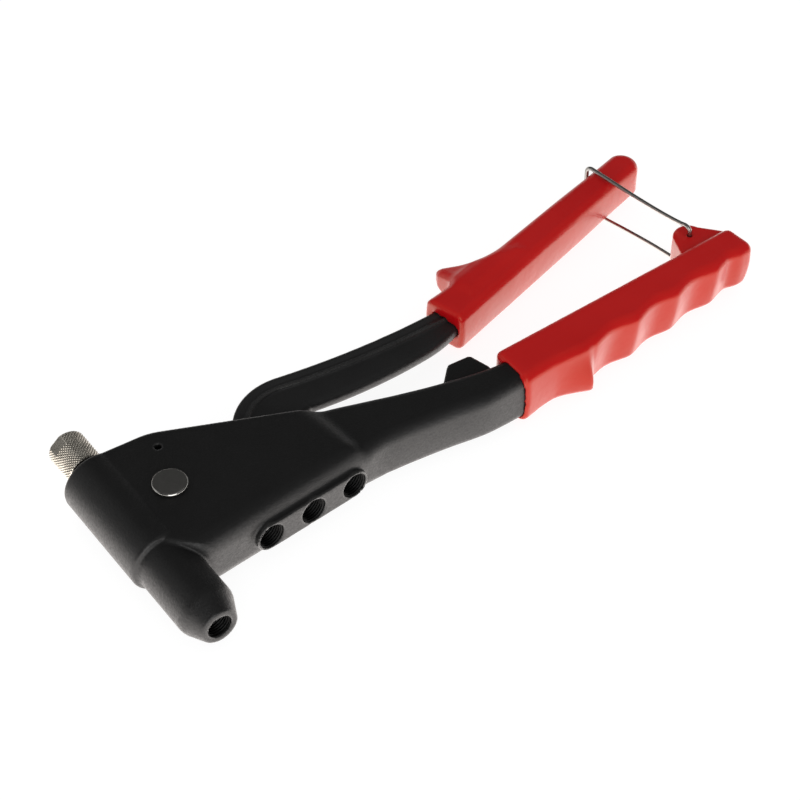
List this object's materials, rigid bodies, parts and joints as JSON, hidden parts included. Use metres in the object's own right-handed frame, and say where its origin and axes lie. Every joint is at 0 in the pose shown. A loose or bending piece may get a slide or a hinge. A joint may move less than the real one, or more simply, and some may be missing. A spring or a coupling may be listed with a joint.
{
  "type": "rivet nut tool",
  "caption": "Hand rivet nut tool with a threaded nose, knurled drive knob, storage holes, moulded grips and a wire storage latch.",
  "frame": {"origin": "centre of the nose mouth", "axes": "nose points along -Y, handles run along +X, the cheek with the pivot pin head faces +Z"},
  "size_m": [0.2733, 0.1051, 0.0256],
  "materials": {
    "black_casting": "matt black powder coat on a casting",
    "black_lever": "satin black coat on a forging",
    "pin_steel": "ground and burnished",
    "spring_steel": "stamped and oiled",
    "wire_steel": "bright drawn wire",
    "turned_steel": "turned",
    "bronze": "turned bearing bronze",
    "nickel": "knurled and nickel plated",
    "black_screw": "black oxide",
    "red_grip": "moulded soft vinyl, satin"
  },
  "bodies": {
    "frame": {"body_casting": "black_casting", "rear_bush": "bronze", "pivot_pin": "pin_steel", "pivot_circlip": "spring_steel", "pivot_shims": "spring_steel", "stop_pin": "pin_steel", "fixed_grip": "red_grip"},
    "lever": {"lever": "black_lever", "lever_bush": "bronze", "lever_grip": "red_grip"},
    "draw": {"draw_sleeve": "turned_steel"},
    "spindle": {"drive_spindle": "turned_steel", "thrust_washer": "bronze", "mandrel_socket": "turned_steel", "knurled_knob": "nickel", "knob_screw": "black_screw"},
    "bail": {"latch_bail": "wire_steel"}
  },
  "joints": [
    {"name": "lever_swing", "type": "hinge", "parent": "frame", "child": "lever", "pos_m": [0.015, 0.0535, 0], "axis": [0, 0, -1], "range_deg": [0, 5.8]},
    {"name": "draw_slide", "type": "slide", "parent": "frame", "child": "draw", "axis": [0, 1, 0], "range_m": [0, 0.00152]},
    {"name": "knob_spin", "type": "hinge", "parent": "draw", "child": "spindle", "pos_m": [0, 0.09, 0], "axis": [0, 1, 0], "continuous": true},
    {"name": "bail_swing", "type": "hinge", "parent": "frame", "child": "bail", "pos_m": [0.2452, 0.05101, 0], "axis": [0, 0, -1], "range_deg": [0, 81.5]}
  ],
  "couplings": [
    {"joint": "draw_slide", "follows": "lever_swing", "m_per_rad": 0.015},
    {"joint": "bail_swing", "follows": "lever_swing", "ratio": 14}
  ]
}
